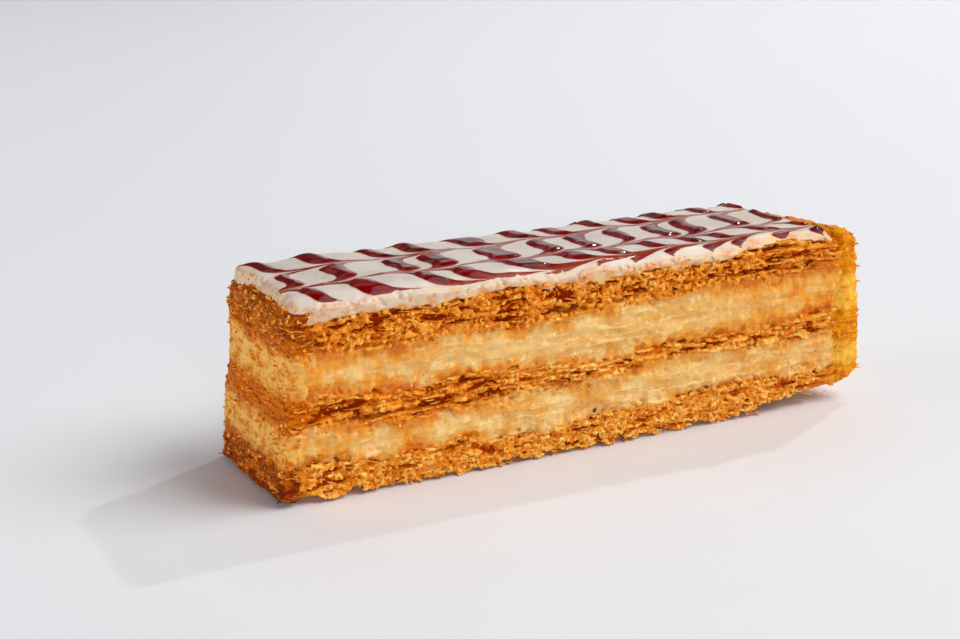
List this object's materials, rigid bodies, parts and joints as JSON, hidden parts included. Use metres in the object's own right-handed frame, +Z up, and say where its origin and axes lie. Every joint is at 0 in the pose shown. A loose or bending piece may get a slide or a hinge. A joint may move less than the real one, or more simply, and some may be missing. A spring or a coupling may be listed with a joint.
{
  "type": "mille feuille slice",
  "caption": "Long cut slice of layered pastry: puff pastry sheets with custard cream between them and a feathered icing top.",
  "frame": {"origin": "middle of the bounding box at the height of the board that the slice rests on", "axes": "+X along the slice towards the end whose underside curls up, -Y out of the long cut side, +Z up through the layers"},
  "size_m": [0.156, 0.04, 0.0446],
  "materials": {
    "pastry": "baked puff pastry, matt, flaky and porous",
    "cream": "moist custard cream, soft gloss",
    "icing": "glossy fondant with dark chocolate feather lines"
  },
  "bodies": {
    "root": {"pastry_bottom": "pastry", "cream_lower": "cream", "pastry_middle": "pastry", "cream_upper": "cream", "pastry_top": "pastry", "icing": "icing"}
  },
  "joints": []
}
